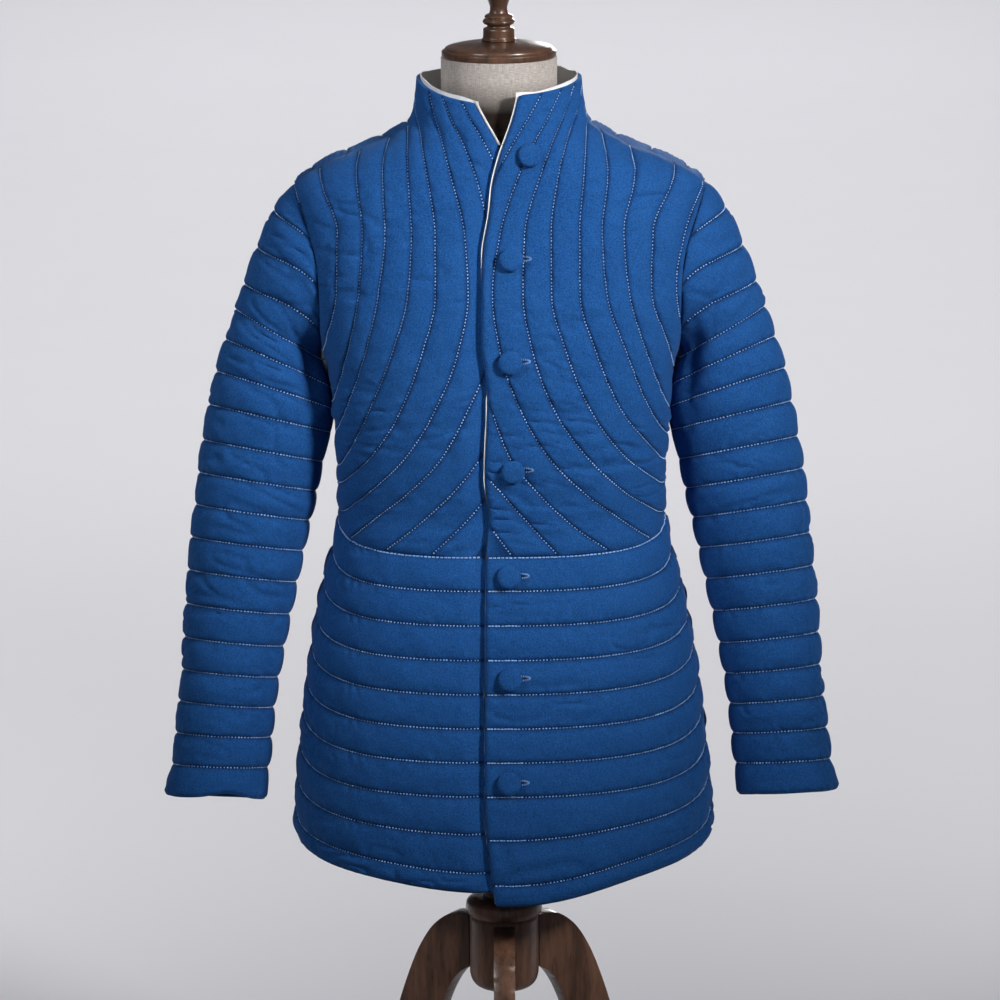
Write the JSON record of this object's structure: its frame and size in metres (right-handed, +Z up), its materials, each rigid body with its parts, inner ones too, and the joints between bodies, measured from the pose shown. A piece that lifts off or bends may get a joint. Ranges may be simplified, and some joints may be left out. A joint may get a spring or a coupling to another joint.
{
  "type": "quilted gambeson on a limbless dress form with a turned wooden tripod stand",
  "caption": "Padded, quilted, long-sleeved jacket with a stand collar and button front, worn by a limbless linen dress form on a turned wooden tripod stand.",
  "frame": {"origin": "on the floor, at the middle of the whole object's bounding box seen from above", "axes": "+Z up; the garment's front faces -Y; the wearer's left side is at +X"},
  "size_m": [0.7102, 0.459, 1.465],
  "materials": {
    "blue_quilted_cloth": "matt woven cotton",
    "natural_lining": "matt undyed linen",
    "form_linen": "matt undyed linen",
    "dark_walnut": "satin"
  },
  "bodies": {
    "root": {"back_skirt": "blue_quilted_cloth", "back_upper": "blue_quilted_cloth", "base_plate": "dark_walnut", "button_1": "blue_quilted_cloth", "button_2": "blue_quilted_cloth", "button_3": "blue_quilted_cloth", "button_4": "blue_quilted_cloth", "button_5": "blue_quilted_cloth", "button_6": "blue_quilted_cloth", "button_7": "blue_quilted_cloth", "finial": "dark_walnut", "form_body": "form_linen", "front_left_skirt": "blue_quilted_cloth", "front_left_upper": "blue_quilted_cloth", "front_right_skirt": "blue_quilted_cloth", "front_right_upper": "blue_quilted_cloth", "hub": "dark_walnut", "leg_back_left": "dark_walnut", "leg_back_right": "dark_walnut", "leg_front": "dark_walnut", "lining_collar_back": "natural_lining", "lining_collar_left": "natural_lining", "lining_collar_right": "natural_lining", "lining_edge_skirt": "natural_lining", "lining_edge_upper": "natural_lining", "neck_cap": "dark_walnut", "pole": "dark_walnut", "sleeve_left": "blue_quilted_cloth", "sleeve_right": "blue_quilted_cloth", "stand_ring": "dark_walnut"}
  },
  "joints": []
}
